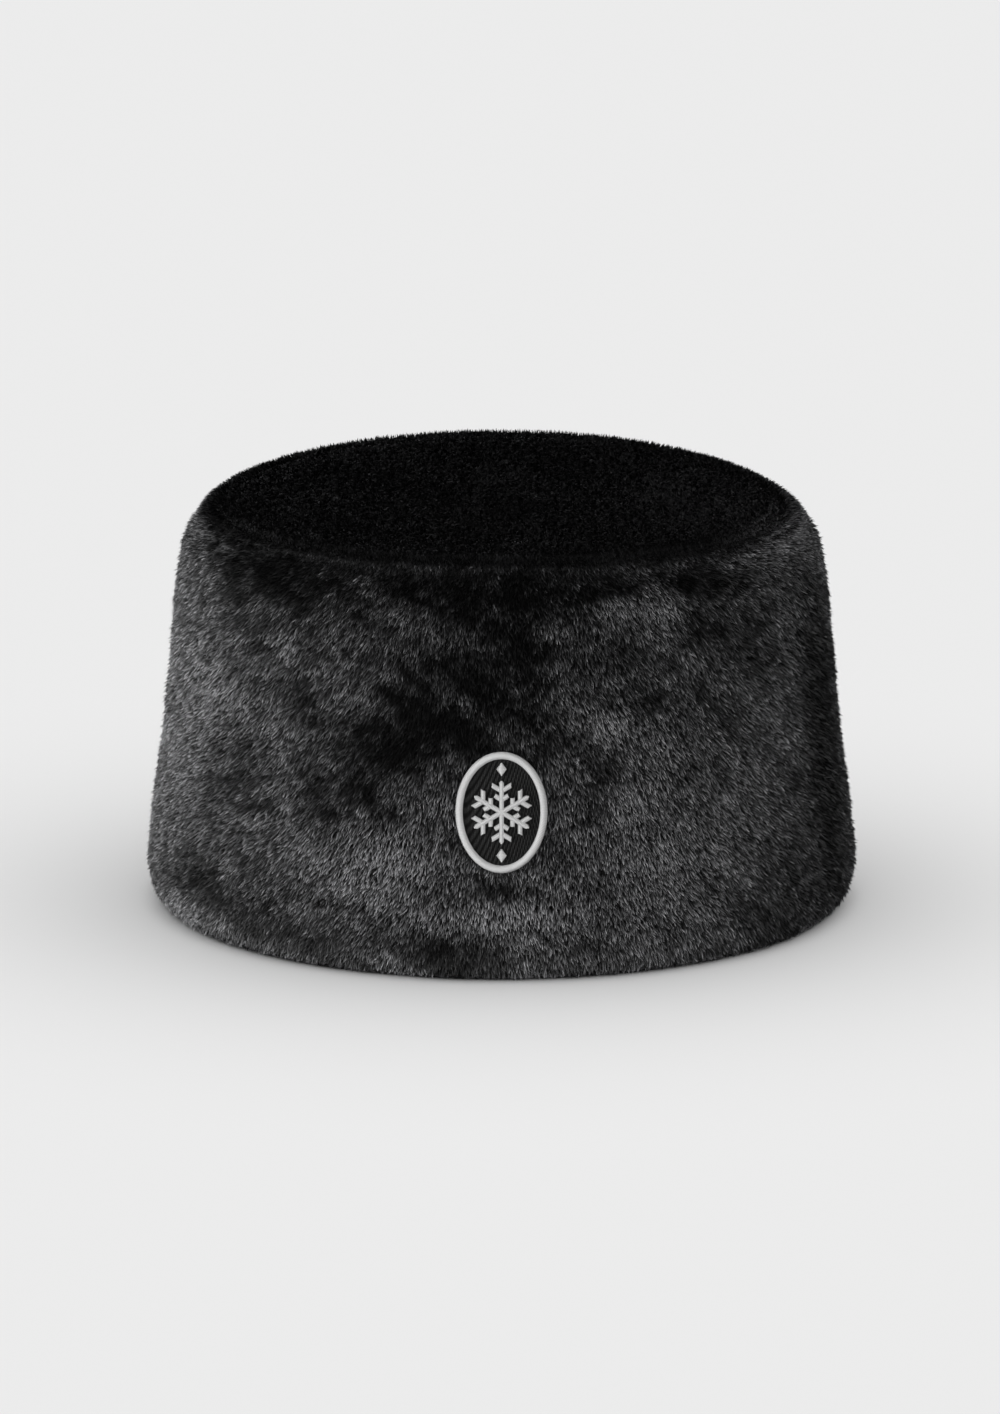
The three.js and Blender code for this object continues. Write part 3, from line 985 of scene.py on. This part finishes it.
def add_soft_light(name, turn, elevation, distance, size, power, receivers):
    """A soft light that looks at the middle of the hat."""
    side, up = math.radians(turn), math.radians(elevation)
    away = np.array([math.sin(side) * math.cos(up), -math.cos(side) * math.cos(up), math.sin(up)])
    deselect_all()
    bpy.ops.object.light_add(type="AREA", location=np.array(LIGHT_AIM) + away * distance)
    light = bpy.context.object
    light.name = name
    light.rotation_euler = (math.pi / 2 - up, 0, side)
    light.data.shape = "RECTANGLE"
    light.data.size, light.data.size_y = size
    light.data.energy = power
    light.light_linking.receiver_collection = receivers


def gathered_in(name, objects):
    group = bpy.data.collections.new(name)
    for each in objects:
        group.objects.link(each)
    return group


def add_floor():
    deselect_all()
    bpy.ops.mesh.primitive_plane_add(size=FLOOR["size"], location=(0, 0, 0))
    floor = bpy.context.object
    floor.name = "floor"
    finish = Finish("pale_floor", Base_Color=grey(FLOOR["grey"]), Roughness=0.9, Specular_IOR_Level=0.0)
    floor.data.materials.append(finish.material)
    floor.visible_diffuse = floor.visible_glossy = False
    return floor


def add_floor_light(receivers):
    deselect_all()
    bpy.ops.object.light_add(type="SUN", location=(0, 0, 2))
    sky = bpy.context.object
    sky.name = "floor light"
    sky.data.energy = FLOOR["light"]
    sky.data.angle = math.radians(FLOOR["softness"])
    sky.light_linking.receiver_collection = receivers


def add_world():
    world = bpy.data.worlds.new("studio")
    bpy.context.scene.world = world
    world.use_nodes = True
    background = world.node_tree.nodes["Background"]
    background.inputs["Color"].default_value = grey(1.0)
    background.inputs["Strength"].default_value = ROOM_LIGHT


# The hat put together


def fur_pieces():
    """The two backings, which stand for the solids of the fur, and the hair that grows on them."""
    band = dress(band_backing(), backing_finish("black_wall_knit", False))
    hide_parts("fur_band")
    crown = dress(crown_backing(), backing_finish("black_crown_knit", True))
    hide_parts("fur_crown")
    # The second number is how far up each hair the painted root shade reaches: far on the band, little on the
    # crown
    band_black = fur_finish("black_fur", 4.0, Roughness=0.5, Specular_IOR_Level=0.2)
    crown_black = fur_finish("black_crown_fur", 0.7, Roughness=0.8, Specular_IOR_Level=0.0)
    hair = [dress(piece, crown_black if piece.name == "crown_fur" else band_black) for piece in fur()]
    return [band, crown, *hair]


def badge_pieces():
    """The badge's solids, as padding, and the stitches over them."""
    felt_black = felt_finish("black_padding", 0.001, 0.003, Roughness=0.8, Specular_IOR_Level=0.15)
    felt_white = felt_finish("white_padding", 0.3, 0.45, Roughness=0.8, Specular_IOR_Level=0.2)
    solids = [node for name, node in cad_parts.items() if name.startswith("badge")]
    for solid in solids:
        solid.data.materials.clear()
        solid.data.materials.append(felt_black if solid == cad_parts["badge_ground"] else felt_white)
    black = thread_finish("black_thread", 0.003, 0.008, Roughness=0.5, Specular_IOR_Level=0.25)
    white = thread_finish("white_thread", 0.5, 0.66, Roughness=0.5, Specular_IOR_Level=0.4)
    on_ground = GROUND["thickness"] + BADGE["gap"]
    threads = []
    for name, stitches, lies, base, thread, slot in (
        ("ground_stitches", ground_stitches(), GROUND, 0, black, "black_thread"),
        ("border_stitches", border_stitches(), BORDER, on_ground, white, "white_thread"),
        ("snowflake_stitches", snowflake_stitches(), SNOWFLAKE, on_ground, white, "white_thread"),
        ("diamond_stitches", diamond_stitches(), DIAMOND, on_ground, white, "white_thread"),
    ):
        piece = stitched(name, stitches, base + lies["ends"], base + lies["middle"])
        threads.append(dress(piece, thread))
    return [*solids, *threads]


add_camera()
floor = add_floor()
add_world()
pieces = [*fur_pieces(), *badge_pieces()]

hat_group = gathered_in("hat", pieces)
band_group = gathered_in("hat_sides", [piece for piece in pieces if piece.name.startswith("band_fur")])
floor_group = gathered_in("ground", [floor])
for light in LIGHTS:
    add_soft_light(**light, receivers=band_group if light["name"] == "back light" else hat_group)
add_floor_light(floor_group)

bpy.context.scene.view_settings.view_transform = "Standard"
